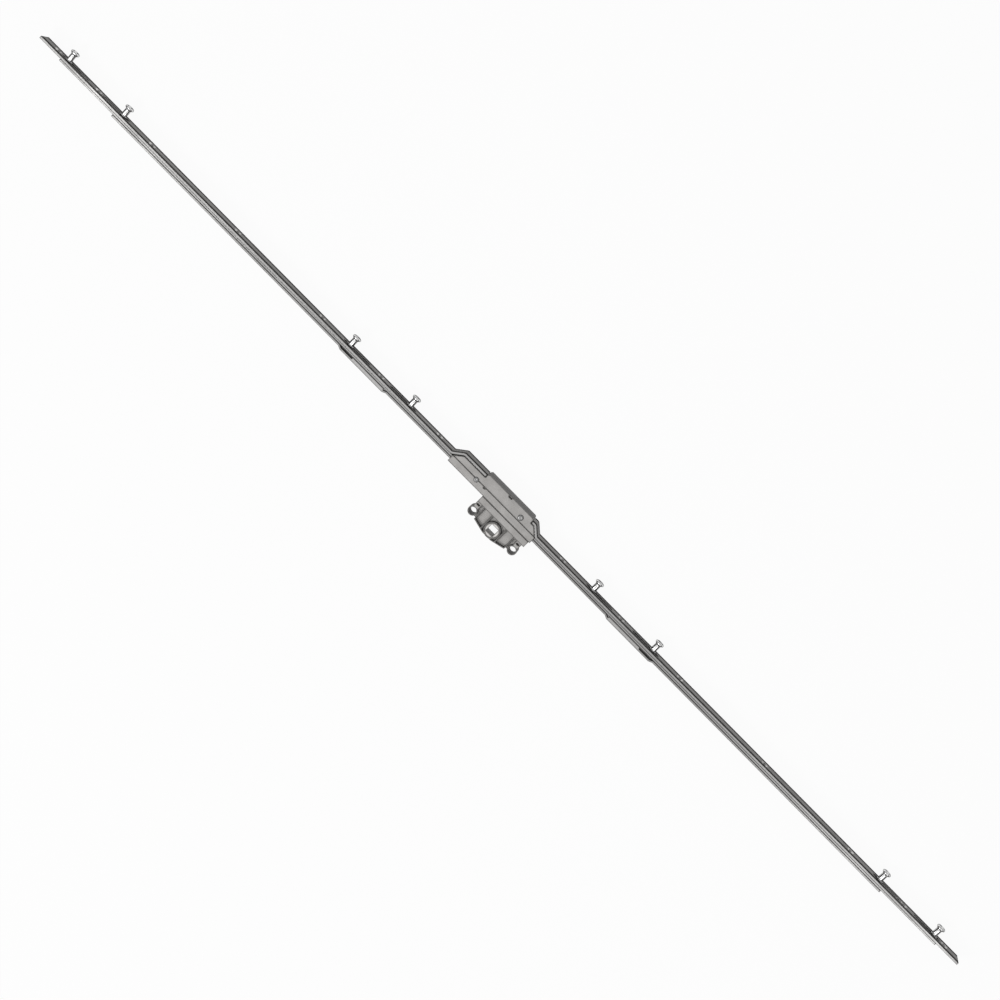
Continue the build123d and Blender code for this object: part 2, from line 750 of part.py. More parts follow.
def housing_half(side):
    """One cast half, from the parting plane outwards. side is 1 near and -1 far."""
    with BuildPart() as half:
        # side wall of the rail channel
        with BuildSketch(Plane.XY.offset(side * CHANNEL_HALF)):
            outline(
                [
                    (CASE_LEFT, CASE_FOOT),
                    (CASE_LEFT, ramp_y(-1, RAMP_GAP_LEFT, CASE_LEFT)),
                    (ramp_x(-1, RAMP_GAP_LEFT, CASE_TOP), CASE_TOP),
                    (BRIDGE_LEFT, CASE_TOP),
                    (BRIDGE_LEFT, BUMP_TOP + BRIDGE_THICK),
                    (BRIDGE_RIGHT, BUMP_TOP + BRIDGE_THICK),
                    (BRIDGE_RIGHT, CASE_TOP),
                    (ramp_x(1, RAMP_GAP_RIGHT, CASE_TOP), CASE_TOP),
                    (CASE_RIGHT, ramp_y(1, RAMP_GAP_RIGHT, CASE_RIGHT)),
                    (CASE_RIGHT, CASE_FOOT),
                ]
            )
        extrude(amount=side * (CASE_HALF - CHANNEL_HALF))
        # bridge over the faceplate
        with BuildSketch(Plane.XY):
            outline(
                [
                    (BRIDGE_LEFT, BUMP_TOP),
                    (BRIDGE_LEFT, BUMP_TOP + BRIDGE_THICK),
                    (BRIDGE_RIGHT, BUMP_TOP + BRIDGE_THICK),
                    (BRIDGE_RIGHT, BUMP_TOP),
                ]
            )
        extrude(amount=side * (CHANNEL_HALF + WALL_JOIN))
        ends = half.edges().filter_by(Axis.Z).group_by(Axis.Y)[-1]
        chamfer(ends, BRIDGE_BEVEL)
        # block around the drive rack
        with BuildSketch(Plane.XY):
            with Locations(((BLOCK_LEFT + BLOCK_RIGHT) / 2, (BLOCK_FOOT + FLOOR) / 2)):
                Rectangle(BLOCK_RIGHT - BLOCK_LEFT, FLOOR - BLOCK_FOOT)
        extrude(amount=side * BLOCK_HALF)
        # lower case with its collar
        with BuildSketch(Plane.XY):
            outline(low_outline(0))
            Circle(COLLAR_R)
            with Locations(((BLOCK_LEFT + BLOCK_RIGHT) / 2, BLOCK_FOOT)):
                Rectangle(2 * LOW_WIDE, 2 * JOIN)
        extrude(amount=side * LOW_HALF)
        # screw lugs, the ears that tie them to the block, and the webs to the case
        with BuildSketch(Plane.XY):
            with Locations((-LUG_X, 0), (LUG_X, 0)):
                Circle(LUG_R)
        extrude(amount=side * LUG_HALF)
        with BuildSketch(Plane.XY):
            ear_high = BLOCK_FOOT + JOIN - EAR_FOOT
            with Locations((-LUG_X, EAR_FOOT + ear_high / 2), (LUG_X, EAR_FOOT + ear_high / 2)):
                RectangleRounded(EAR_WIDE, ear_high, EAR_CORNER)
        extrude(amount=side * LOW_HALF)
        with BuildSketch(Plane.XY):
            web_long = LUG_X - LUG_HOLE_R - LOW_WIDE
            web_high = BLOCK_FOOT + JOIN - WEB_FOOT
            for end in (-1, 1):
                with Locations((end * (LOW_WIDE + web_long / 2), WEB_FOOT + web_high / 2)):
                    Rectangle(web_long + JOIN, web_high)
        extrude(amount=side * WEB_HALF)
        # tie rivet boss
        with BuildSketch(Plane.XY):
            with Locations((TIE_X, TIE_Y)):
                Circle(TIE_BOSS_R)
        extrude(amount=side * (CHANNEL_HALF + WALL_JOIN))
        # pockets between rim, ribs and collar
        with BuildSketch(Plane.XY.offset(side * POCKET_FLOOR)):
            outline(low_outline(RIM))
            for end in (-1, 1):
                with Locations((end * RIB_X, 0)):
                    Rectangle(RIB_WIDE, 4 * LOW_FOOT, mode=Mode.SUBTRACT)
            Circle(COLLAR_R, mode=Mode.SUBTRACT)
        extrude(amount=side * LOW_HALF, mode=Mode.SUBTRACT)
        # room for the hub sector and the drive rack
        with BuildSketch(Plane.XY):
            Circle(CAVITY_R)
            with Locations((0, -CAVITY_DROP - CAVITY_R)):
                Rectangle(3 * CAVITY_R, 2 * CAVITY_R, mode=Mode.SUBTRACT)
            with Locations(
                ((RACK_ROOM_LEFT + RACK_ROOM_RIGHT) / 2, (RACK_ROOM_FOOT + FLOOR + CLEAR) / 2)
            ):
                Rectangle(RACK_ROOM_RIGHT - RACK_ROOM_LEFT, FLOOR + CLEAR - RACK_ROOM_FOOT)
        extrude(amount=side * CAVITY_HALF, mode=Mode.SUBTRACT)
        # bores
        with BuildSketch(Plane.XY):
            Circle(HUB_R + HUB_PLAY)
            with Locations((-LUG_X, 0), (LUG_X, 0)):
                Circle(LUG_HOLE_R)
            with Locations((IDLER_X, IDLER_Y)):
                Circle(AXLE_R + RIVET_FIT)
            with Locations((TIE_X, TIE_Y)):
                Circle(TIE_R + RIVET_FIT)
        extrude(amount=side * 2 * CASE_HALF, mode=Mode.SUBTRACT)
        # groove under the channel, tick on the collar, line along the case
        with BuildSketch(Plane.XY.offset(side * (BLOCK_HALF - BLOCK_GROOVE))):
            with Locations(((BLOCK_LEFT + BLOCK_RIGHT) / 2, CASE_FOOT - BLOCK_GROOVE / 2)):
                Rectangle(BLOCK_RIGHT - BLOCK_LEFT + 2 * CLEAR, BLOCK_GROOVE)
        extrude(amount=side * BLOCK_GROOVE, mode=Mode.SUBTRACT)
        with BuildSketch(Plane.XY.offset(side * (LOW_HALF - COLLAR_GROOVE))):
            with Locations((0, COLLAR_R)):
                Rectangle(COLLAR_GROOVE, 2 * COLLAR_GROOVE)
        extrude(amount=side * CASE_HALF, mode=Mode.SUBTRACT)
        with BuildSketch(Plane.XY.offset(side * (CASE_HALF - SEAM_DEEP))):
            with Locations(((CASE_LEFT + CASE_RIGHT) / 2, SEAM_Y)):
                Rectangle(CASE_RIGHT - CASE_LEFT + 2 * CLEAR, SEAM_HIGH)
        extrude(amount=side * CASE_HALF, mode=Mode.SUBTRACT)
        if side > 0:
            with BuildSketch(Plane.XY.offset(CASE_HALF - NICK_DEEP)):
                with Locations((NICK_X, NICK_Y)):
                    Circle(NICK_R)
                with Locations((NICK_X - NICK_R, NICK_Y - NICK_R / 2)):
                    Rectangle(2 * NICK_R, NICK_R)
            extrude(amount=CASE_HALF, mode=Mode.SUBTRACT)
            with BuildSketch(Plane.XY.offset(CASE_HALF - NOTCH_DEEP)):
                with Locations(((NOTCH_LEFT + NOTCH_RIGHT) / 2, NOTCH_FOOT + BRIDGE_THICK)):
                    Rectangle(NOTCH_RIGHT - NOTCH_LEFT, 2 * BRIDGE_THICK)
            extrude(amount=CASE_HALF, mode=Mode.SUBTRACT)
            with BuildSketch(Plane.XY):
                with Locations((-LUG_X, WINDOW_Y), (LUG_X, WINDOW_Y)):
                    Rectangle(WINDOW_LONG, WINDOW_HIGH)
            extrude(amount=CASE_HALF, mode=Mode.SUBTRACT)
        else:
            with BuildSketch(Plane.XY.offset(-TENON_ROOT)):
                with Locations((-LUG_X, WINDOW_Y), (LUG_X, WINDOW_Y)):
                    Rectangle(WINDOW_LONG - 2 * TENON_PLAY, WINDOW_HIGH - 2 * TENON_PLAY)
            extrude(amount=TENON_ROOT + LOW_HALF - TENON_SHORT)
    return half.part


housing_near = housing_half(1)
housing_near.label = "housing_near"
housing_far = housing_half(-1)
housing_far.label = "housing_far"


def rivet(x, y, shank_r, head_r):
    """Rivet through both halves with a low head on each side."""
    with BuildPart() as pin:
        with BuildSketch(Plane.XY.offset(-CASE_HALF)):
            with Locations((x, y)):
                Circle(shank_r)
        extrude(amount=2 * CASE_HALF)
        for side in (-1, 1):
            with BuildSketch(Plane.XY.offset(side * CASE_HALF)):
                with Locations((x, y)):
                    Circle(head_r)
            extrude(amount=side * HEAD_HIGH)
    return pin.part


idler_axle = rivet(IDLER_X, IDLER_Y, AXLE_R, AXLE_HEAD_R)
idler_axle.label = "idler_axle"
tie_rivet = rivet(TIE_X, TIE_Y, TIE_R, TIE_HEAD_R)
tie_rivet.label = "tie_rivet"

# write every piece to its own file

os.makedirs("parts", exist_ok=True)
export_step(faceplate.part, "parts/faceplate.step")
export_step(housing_near, "parts/housing_near.step")
export_step(housing_far, "parts/housing_far.step")
export_step(idler_axle, "parts/idler_axle.step")
export_step(tie_rivet, "parts/tie_rivet.step")
export_step(spindle_hub.part, "parts/spindle_hub.step")
export_step(idler_pinion.part, "parts/idler_pinion.step")
export_step(drive_rack.part, "parts/drive_rack.step")
export_step(reversing_rack.part, "parts/reversing_rack.step")
export_step(rail_left_upper, "parts/rail_left_upper.step")
export_step(rail_left_lower, "parts/rail_left_lower.step")
export_step(rail_right_upper, "parts/rail_right_upper.step")
export_step(rail_right_lower, "parts/rail_right_lower.step")
for label, pin in cams.items():
    export_step(pin, f"parts/{label}.step")
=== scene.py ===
import json
import math

import bmesh
import bpy
from mathutils import Matrix, Vector

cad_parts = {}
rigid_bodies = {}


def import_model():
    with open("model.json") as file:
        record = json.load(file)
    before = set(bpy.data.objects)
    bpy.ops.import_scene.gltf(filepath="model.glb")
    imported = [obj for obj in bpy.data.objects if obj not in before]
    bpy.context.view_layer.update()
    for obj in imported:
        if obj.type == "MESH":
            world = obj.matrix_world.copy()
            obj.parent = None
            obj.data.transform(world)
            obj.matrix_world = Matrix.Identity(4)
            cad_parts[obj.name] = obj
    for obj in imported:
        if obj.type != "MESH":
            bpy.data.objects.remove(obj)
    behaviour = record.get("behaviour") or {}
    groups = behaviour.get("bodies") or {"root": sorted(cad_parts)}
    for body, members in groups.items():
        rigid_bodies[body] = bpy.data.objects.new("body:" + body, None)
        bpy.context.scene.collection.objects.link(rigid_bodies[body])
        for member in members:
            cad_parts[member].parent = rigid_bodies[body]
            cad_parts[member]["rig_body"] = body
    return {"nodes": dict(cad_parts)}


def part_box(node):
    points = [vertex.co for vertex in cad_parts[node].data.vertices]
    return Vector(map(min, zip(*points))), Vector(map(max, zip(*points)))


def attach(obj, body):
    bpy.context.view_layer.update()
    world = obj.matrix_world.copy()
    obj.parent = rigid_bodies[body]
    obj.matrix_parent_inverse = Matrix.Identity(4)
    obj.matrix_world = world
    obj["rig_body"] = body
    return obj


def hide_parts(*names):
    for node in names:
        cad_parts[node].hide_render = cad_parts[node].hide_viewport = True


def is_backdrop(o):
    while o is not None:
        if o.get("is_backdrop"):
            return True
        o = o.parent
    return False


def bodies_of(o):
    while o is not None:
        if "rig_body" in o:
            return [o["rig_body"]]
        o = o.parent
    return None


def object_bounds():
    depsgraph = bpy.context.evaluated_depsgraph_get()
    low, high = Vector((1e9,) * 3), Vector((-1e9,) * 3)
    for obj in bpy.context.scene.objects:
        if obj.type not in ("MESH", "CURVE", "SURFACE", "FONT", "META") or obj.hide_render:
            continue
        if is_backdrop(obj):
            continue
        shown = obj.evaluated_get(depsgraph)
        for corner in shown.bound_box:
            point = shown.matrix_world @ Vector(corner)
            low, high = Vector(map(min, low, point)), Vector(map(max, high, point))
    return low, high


# Looks of the window espagnolette gearbox, in the part's own frame: X along the
# rails, Y toward the cams, Z along the spindle toward the camera. Blender works in
# metres. Sizes here are in mm and angles in degrees, apart from floor and lamps.

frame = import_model()
size = {"cad": [list(corner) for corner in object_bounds()]}

MM = 0.001
SIDES = ("left", "right")
CAM_NUMBERS = (1, 2, 3, 4)

# Vertices closer than the gap are joined; edges over the angles are bevelled or sharp
WELD_GAP = 0.002
BEVEL_ANGLE = 35
SHARP_ANGLE = 38

# Turned outline of a cam as (height over the spindle, radius): its foot in an upper
# or a lower rail, then collar, post and head, whose axis is the eccentric one
CAM_POINTS = 72
CAM_FOOT_UPPER = [(17.3, 2.35), (17.45, 2.7), (17.8, 2.92), (18.2, 2.98), (18.2, 1.75), (19.7, 1.75)]
CAM_FOOT_LOWER = [(16.4, 2.88), (17.55, 1.75), (17.9, 1.75)]
CAM_SHOULDER_R = 2.22
CAM_COLLAR = [(22.15, 3.05), (22.2, 3.15), (22.35, 3.2), (22.6, 3.2), (22.72, 3.12), (22.75, 3.0)]
CAM_POST = [(22.75, 2.5), (22.85, 2.4), (23.1, 2.38), (27.9, 2.38), (28.2, 2.42), (28.45, 2.62)]
CAM_HEAD = [
    (29.1, 3.5),
    (29.3, 3.7),
    (29.5, 3.79),
    (30.0, 3.79),
    (30.25, 3.72),
    (30.55, 3.45),
    (30.8, 3.05),
    (30.95, 2.75),
    (31.0, 2.5),
    (31.0, 2.35),
]

# Socket in the cam's head: (height, distance across flats), then its round bottom
CAM_SOCKET = [(30.92, 4.15), (30.8, 4.0), (28.85, 4.0)]
CAM_SOCKET_BOTTOM = [(28.8, 1.8), (28.45, 0.5)]

# Domed rivet head as (height over the case, share of the head's radius)
RIVET_POINTS = 64
RIVET_SINK = 0.02
RIVET_DOME = [
    (0.0, 1.0),
    (0.22, 1.0),
    (0.42, 0.95),
    (0.6, 0.82),
    (0.73, 0.62),
    (0.79, 0.42),
    (0.8, 0.34),
    (0.74, 0.28),
    (0.66, 0.1),
]

# Camera of the photograph: tilt, centre of view, its distance and width in metres,
# and how far the rail runs right and down in the picture
VIEW_TILT = 12.8
VIEW_CENTRE = (-12.4, 20.0, 0.0)
VIEW_DISTANCE = 1.5
VIEW_WIDTH = 0.7706
RAIL_RIGHT = 0.7033
RAIL_DOWN = 0.7109

# Floor, at the lowest point of the CAD model, and world
FLOOR_Z = size["cad"][0][2]
FLOOR_REACH = 6.0
FLOOR_GLOW = 0.945
WORLD_LIGHT = 0.4
HORIZON_GREY = 0.12


# Places in the frame


def middle(node):
    """Middle of a CAD node's box, in mm."""
    low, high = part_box(node)
    return (low + high) / 2 / MM


def reach_z(node):
    """How far a CAD node reaches from the parting plane toward the camera, in mm."""
    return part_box(node)[1].z / MM


# Camera


def make_camera():
    """Camera at the photograph's angle, with the rail on its diagonal."""
    tilt = math.radians(VIEW_TILT)
    along = Vector((1, 0, 0))
    across = Vector((0, math.cos(tilt), -math.sin(tilt)))
    back = Vector((0, math.sin(tilt), math.cos(tilt)))
    right = along * RAIL_RIGHT + across * RAIL_DOWN
    right.normalize()
    up = back.cross(right)
    data = bpy.data.cameras.new("camera")
    data.sensor_width = 36.0
    data.lens = data.sensor_width * VIEW_DISTANCE / VIEW_WIDTH
    data.clip_start = 0.01
    data.clip_end = 20.0
    camera = bpy.data.objects.new("camera", data)
    bpy.context.collection.objects.link(camera)
    turn = Matrix((right, up, back)).transposed().to_4x4()
    place = Vector(VIEW_CENTRE) * MM + back * VIEW_DISTANCE
    camera.matrix_world = Matrix.Translation(place) @ turn
    bpy.context.scene.camera = camera


# Shader nodes


class Nodes:
    """A short way to add and join shader nodes."""

    def __init__(self, name):
        self.material = bpy.data.materials.new(name)
        self.material.use_nodes = True
        self.tree = self.material.node_tree
        self.shader = self.tree.nodes["Principled BSDF"]
        self.out = self.tree.nodes["Material Output"]

    def add(self, kind, **values):
        """New node with those inputs or settings."""
        node = self.tree.nodes.new(kind)
        for key, value in values.items():
            if key in node.inputs:
                node.inputs[key].default_value = value
            else:
                setattr(node, key, value)
        return node

    def link(self, a, b):
        self.tree.links.new(a, b)

    def noise(self, scale, squeeze, detail=4.0, rough=0.55):
        """Noise in object space; squeeze under 1 draws it out along that axis."""
        where = self.add("ShaderNodeTexCoord")
        mapping = self.add("ShaderNodeMapping")
        mapping.inputs["Scale"].default_value = squeeze
        self.link(where.outputs["Object"], mapping.inputs["Vector"])
        noise = self.add("ShaderNodeTexNoise")
        noise.inputs["Scale"].default_value = scale
        noise.inputs["Detail"].default_value = detail
        noise.inputs["Roughness"].default_value = rough
        self.link(mapping.outputs["Vector"], noise.inputs["Vector"])
        return noise.outputs["Fac"]

    def ramp(self, source, low, high, at=(0.3, 0.7)):
        """Colour or grey value between low and high."""
        ramp = self.add("ShaderNodeValToRGB")
        ramp.color_ramp.elements[0].position = at[0]
        ramp.color_ramp.elements[1].position = at[1]
        ramp.color_ramp.elements[0].color = low
        ramp.color_ramp.elements[1].color = high
        self.link(source, ramp.inputs["Fac"])
        return ramp.outputs["Color"]

    def mix(self, fac, a, b):
        """Colour a where fac is 0 and b where it is 1; each is a value or a socket."""
        node = self.add("ShaderNodeMix", data_type="RGBA")
        for value, socket in ((fac, node.inputs[0]), (a, node.inputs[6]), (b, node.inputs[7])):
            if isinstance(value, bpy.types.NodeSocket):
                self.link(value, socket)
            else:
                socket.default_value = value
        return node.outputs[2]

    def bump(self, sources):
        """Bump from (height socket, distance in mm, strength) triples, one on another."""
        normal = None
        for height, distance, strength in sources:
            node = self.add("ShaderNodeBump")
            node.inputs["Distance"].default_value = distance * MM
            node.inputs["Strength"].default_value = strength
            self.link(height, node.inputs["Height"])
            if normal is not None:
                self.link(normal, node.inputs["Normal"])
            normal = node.outputs["Normal"]
        self.link(normal, self.shader.inputs["Normal"])

    def absolute_z(self, kind):
        """Z part, without its sign, of the object's Normal or Object coordinates."""
        where = self.add("ShaderNodeTexCoord")
        parts = self.add("ShaderNodeSeparateXYZ")
        absolute = self.add("ShaderNodeMath", operation="ABSOLUTE")
        self.link(where.outputs[kind], parts.inputs[0])
        self.link(parts.outputs["Z"], absolute.inputs[0])
        return absolute.outputs[0]

    def facing_z(self, at):
        """White where the surface looks along Z of the object, either way."""
        return self.ramp(self.absolute_z("Normal"), grey(0), grey(1), at)

    def painted_shade_mask(self, reach, at=(0.35, 0.9), depth=1.0):
        """White in corners, gaps and pockets, within reach in mm, marking where painted shade goes."""
        node = self.add("ShaderNodeAmbientOcclusion", samples=8)
        node.inputs["Distance"].default_value = reach * MM
        return self.ramp(node.outputs["AO"], grey(depth), grey(0), at)

    def edges(self, reach, at=(0.6, 0.95)):
        """White along outer edges, within about half of reach in mm, marking where painted edge shade
        goes.
        """
        node = self.add("ShaderNodeAmbientOcclusion", samples=8, inside=True, only_local=True)
        node.inputs["Distance"].default_value = reach * MM
        return self.ramp(node.outputs["AO"], grey(1), grey(0), at)

    def beyond(self, low, high):
        """White where the place is further than high mm from the middle plane along Z."""
        share = self.add("ShaderNodeMapRange")
        self.link(self.absolute_z("Object"), share.inputs["Value"])
        share.inputs["From Min"].default_value = low * MM
        share.inputs["From Max"].default_value = high * MM
        return share.outputs["Result"]


def grey(value, warm=0.0):
    """Grey colour, a little redder and less blue by the share warm."""
    return (value * (1 + warm), value, value * (1 - warm), 1)


def strip_material(name, half_width, face, edge, rough, tint):
    """Rolled and plated steel strip with lines along X, stains and bright sheared edges; painted shade
    darkens its face toward the long edges, its gaps and corners, and its outer edges.
    """
    n = Nodes(name)
    lines = n.noise(900.0, (0.02, 1.0, 1.0), 3.0)
    stains = n.noise(60.0, (0.5, 1.0, 1.0), 5.0, 0.6)
    specks = n.noise(900.0, (1.0, 1.0, 1.0), 5.0, 0.7)
    grain = n.noise(5000.0, (1.0, 1.0, 1.0), 2.0)
    shear = n.noise(1400.0, (1.0, 0.08, 1.0), 3.0)
    rolled = n.mix(
        n.ramp(lines, grey(0), grey(1)), grey(face * 1.6, 0.015), grey(face * 2.3, 0.015)
    )
    # Painted shade: the face darkens toward its long edges, away from the middle plane
    rolled = n.mix(n.beyond(half_width - 5.5, half_width - 2.0), rolled, grey(face * 0.2, 0.02))
    rolled = n.mix(
        n.ramp(stains, grey(0), grey(0.5), (0.45, 0.75)), rolled, grey(face * 0.6, 0.03)
    )
    rolled = n.mix(
        n.ramp(specks, grey(0), grey(0.6), (0.62, 0.75)), rolled, grey(face * 0.5, 0.03)
    )
    sheared = n.mix(
        n.ramp(shear, grey(0), grey(1)), grey(edge * 0.86, 0.015), grey(edge * 1.08, 0.01)
    )
    sheared = n.mix(
        n.ramp(lines, grey(0), grey(0.45), (0.45, 0.7)), sheared, grey(edge * 0.7, 0.02)
    )
    base = n.mix(n.facing_z((0.75, 0.95)), rolled, sheared)
    # Painted shade in gaps and corners, and painted shade along the outer edges
    base = n.mix(n.painted_shade_mask(0.9), base, grey(face * 0.2))
    base = n.mix(n.edges(0.9, (0.55, 0.93)), base, grey(face * 0.15, 0.02))
    n.link(base, n.shader.inputs["Base Color"])
    n.link(n.ramp(stains, grey(rough * 0.8), grey(rough * 1.25)), n.shader.inputs["Roughness"])
    n.shader.inputs["Metallic"].default_value = 0.95
    n.shader.inputs["Specular Tint"].default_value = grey(tint)
    n.bump([(lines, 0.012, 0.35), (specks, 0.01, 0.2), (grain, 0.006, 0.25)])
    return n.material


def casting_material(name, tone, rough, shade=0.26):
    """Tumbled zinc casting: matte and slightly orange peeled, with painted shade on the sides that do
    not face Z, in pockets and creases and along the outer edges.
    """
    n = Nodes(name)
    patches = n.noise(110.0, (1, 1, 1), 5.0, 0.6)
    flow = n.noise(260.0, (0.3, 1, 1), 4.0, 0.6)
    fine = n.noise(2600.0, (1, 1, 1), 3.0, 0.6)
    peel = n.noise(700.0, (1, 1, 1), 2.0)
    base = n.mix(n.ramp(patches, grey(0), grey(1)), grey(tone * 0.84, 0.035), grey(tone * 1.1, 0.025))
    base = n.mix(n.ramp(flow, grey(0), grey(0.4), (0.5, 0.7)), base, grey(tone * 0.8, 0.02))
    base = n.mix(n.ramp(fine, grey(0), grey(0.5), (0.45, 0.8)), base, grey(tone * 1.25, 0.01))
    # Painted shade: faces that do not look along Z are darker
    base = n.mix(n.facing_z((0.6, 0.9)), grey(tone * 0.42, 0.02), base)
    # Painted shade in pockets and creases, and painted shade along the outer edges
    base = n.mix(n.painted_shade_mask(2.4, (0.2, 0.86), shade), base, grey(tone * 0.22, 0.03))
    base = n.mix(n.painted_shade_mask(0.8, (0.45, 0.85)), base, grey(tone * 0.15, 0.03))
    base = n.mix(n.ramp(n.edges(1.1), grey(0), grey(0.85)), base, grey(tone * 0.25, 0.03))
    n.link(base, n.shader.inputs["Base Color"])
    n.link(n.ramp(fine, grey(rough * 0.85), grey(rough * 1.15)), n.shader.inputs["Roughness"])
    n.shader.inputs["Metallic"].default_value = 0.5
    n.shader.inputs["Specular Tint"].default_value = grey(0.4)
    n.bump([(peel, 0.05, 0.5), (flow, 0.03, 0.3), (fine, 0.03, 0.6)])
    return n.material


def bright_material(name, tone, rough, tint):
    """Turned and bright plated steel, with faint rings round Y, fine scuffs and painted shade in
    recesses.
    """
    n = Nodes(name)
    rings = n.noise(1500.0, (0.05, 1.0, 0.05), 2.0)
    scuffs = n.noise(900.0, (1, 1, 1), 4.0)
    base = n.mix(n.ramp(scuffs, grey(0), grey(0.4)), grey(tone), grey(tone * 0.8, 0.01))
    # Painted shade in recesses
    base = n.mix(n.painted_shade_mask(1.0, (0.3, 0.85)), base, grey(tone * 0.1))
    n.link(base, n.shader.inputs["Base Color"])
    n.link(n.ramp(scuffs, grey(rough * 0.7), grey(rough * 1.5)), n.shader.inputs["Roughness"])
    n.shader.inputs["Metallic"].default_value = 1.0
    n.shader.inputs["Specular Tint"].default_value = grey(tint)
    n.bump([(rings, 0.006, 0.25), (scuffs, 0.004, 0.2)])
    return n.material


# Meshes


def dress(name, material, bevel, segments=2):
    """Gives a CAD node its material and rolled or cast edges, bevel mm wide."""
    piece = frame["nodes"][name]
    piece.data.materials.clear()
    piece.data.materials.append(material)
    weld = piece.modifiers.new("weld", "WELD")
    weld.merge_threshold = WELD_GAP * MM
    rounded = piece.modifiers.new("rounded", "BEVEL")
    rounded.width = bevel * MM
    rounded.segments = segments
    rounded.limit_method = "ANGLE"
    rounded.angle_limit = math.radians(BEVEL_ANGLE)
    rounded.miter_outer = "MITER_ARC"
    normals = piece.modifiers.new("normals", "WEIGHTED_NORMAL")
    normals.keep_sharp = True
    normals.weight = 60


def new_mesh(name, rings, material, body):
    """Skins rings of equal point count into one smooth piece riding on body."""
    bm = bmesh.new()
    rows = [[bm.verts.new(Vector(p) * MM) for p in ring] for ring in rings]
    count = len(rows[0])
    for low, high in zip(rows, rows[1:]):
        for i in range(count):
            j = (i + 1) % count
            bm.faces.new((low[i], low[j], high[j], high[i]))
    bm.faces.new(list(reversed(rows[0])))
    bm.faces.new(rows[-1])
    bmesh.ops.recalc_face_normals(bm, faces=bm.faces)
    mesh = bpy.data.meshes.new(name)
    bm.to_mesh(mesh)
    bm.free()
    for face in mesh.polygons:
        face.use_smooth = True
    mesh.set_sharp_from_angle(angle=math.radians(SHARP_ANGLE))
    mesh.materials.append(material)
    piece = bpy.data.objects.new(name, mesh)
    bpy.context.collection.objects.link(piece)
    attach(piece, body)
    return piece


def turns(count):
    """Angles of that many points, spread evenly round a ring."""
    return [2 * math.pi * i / count for i in range(count)]


def circle(x, y, z, r):
    """Ring round the Y axis through (x, z)."""
    return [(x + r * math.cos(t), y, z + r * math.sin(t)) for t in turns(CAM_POINTS)]


def hexagon(x, y, z, flat):
    """Ring on a hexagon of that distance across flats, with as many points as a circle."""
    ring = []
    for t in turns(CAM_POINTS):
        within = (t + math.pi / 6) % (math.pi / 3) - math.pi / 6
        r = flat / 2 / math.cos(within)
        ring.append((x + r * math.cos(t), y, z + r * math.sin(t)))
    return ring


def body_of(node):
    """Name of the body that carries a CAD node."""
    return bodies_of(frame["nodes"][node])[0]


def make_cam(side, number):
    """Turned mushroom cam with a hexagon socket, standing for its CAD node."""
    node = f"cam_{side}_{number}"
    x, _, axis = middle(node)
    foot = CAM_FOOT_UPPER if number % 2 == 1 else CAM_FOOT_LOWER
    seat, collar = foot[-1][0], CAM_COLLAR[0][0]
    rings = [circle(x, y, 0, r) for y, r in foot]
    rings += [circle(x, y, 0, CAM_SHOULDER_R) for y in (seat, collar)]
    rings += [circle(x, y, axis, r) for y, r in CAM_COLLAR + CAM_POST + CAM_HEAD]
    rings += [hexagon(x, y, axis, flat) for y, flat in CAM_SOCKET]
    rings += [circle(x, y, axis, r) for y, r in CAM_SOCKET_BOTTOM]
    piece = new_mesh(f"{node}_turned", rings, BRIGHT, body_of(node))
    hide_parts(node)


def make_rivet(node, shank):
    """Rivet with spun domed heads that carry a small centre dimple."""
    low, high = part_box(node)
    head = (high.x - low.x) / 2 / MM
    face = reach_z("housing_near")
    x, y, _ = middle(node)
    half = [(0.0, shank), (face - RIVET_SINK, shank)]
    half += [(face + rise, head * share) for rise, share in RIVET_DOME]
    profile = [(-z, r) for z, r in reversed(half)] + half[1:]
    rings = []
    for z, r in profile:
        rings.append([(x + r * math.cos(t), y + r * math.sin(t), z) for t in turns(RIVET_POINTS)])
    piece = new_mesh(f"{node}_spun", rings, RIVET, body_of(node))
    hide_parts(node)


# Floor, light and world


def seen(tree):
    """1 for what the camera sees straight, in gloss or through glass, else 0."""
    path = tree.nodes.new("ShaderNodeLightPath")
    total = path.outputs["Is Camera Ray"]
    for name in ("Is Glossy Ray", "Is Transmission Ray"):
        both = tree.nodes.new("ShaderNodeMath")
        both.operation = "MAXIMUM"
        tree.links.new(total, both.inputs[0])
        tree.links.new(path.outputs[name], both.inputs[1])
        total = both.outputs[0]
    return total


